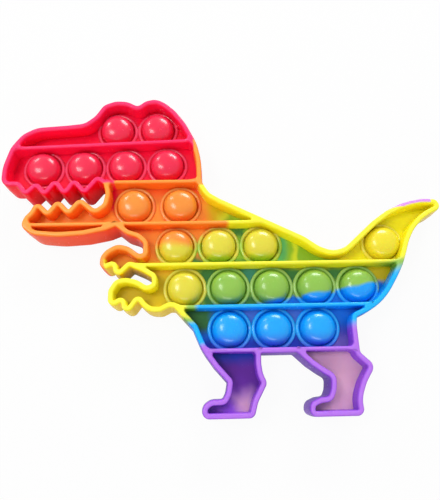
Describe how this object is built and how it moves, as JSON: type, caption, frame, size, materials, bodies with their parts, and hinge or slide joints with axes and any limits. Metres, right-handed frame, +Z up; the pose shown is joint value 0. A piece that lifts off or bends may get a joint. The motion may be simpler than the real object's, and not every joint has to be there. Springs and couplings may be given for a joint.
{
  "type": "bubble pop fidget toy",
  "caption": "Flat silicone fidget toy in a walking dinosaur's outline: a raised outer wall, ribs between the rows and a thin web that carries hollow domes, which pop through to either side.",
  "frame": {"origin": "middle of the outline's box, on the surface that the toy lies on", "axes": "+X from the snout to the tail, +Y from the feet to the head's crest, +Z up out of the domes' side"},
  "size_m": [0.207, 0.1538, 0.015],
  "materials": {
    "silicone": "satin"
  },
  "bodies": {
    "root": {"popper": "silicone"}
  },
  "joints": []
}
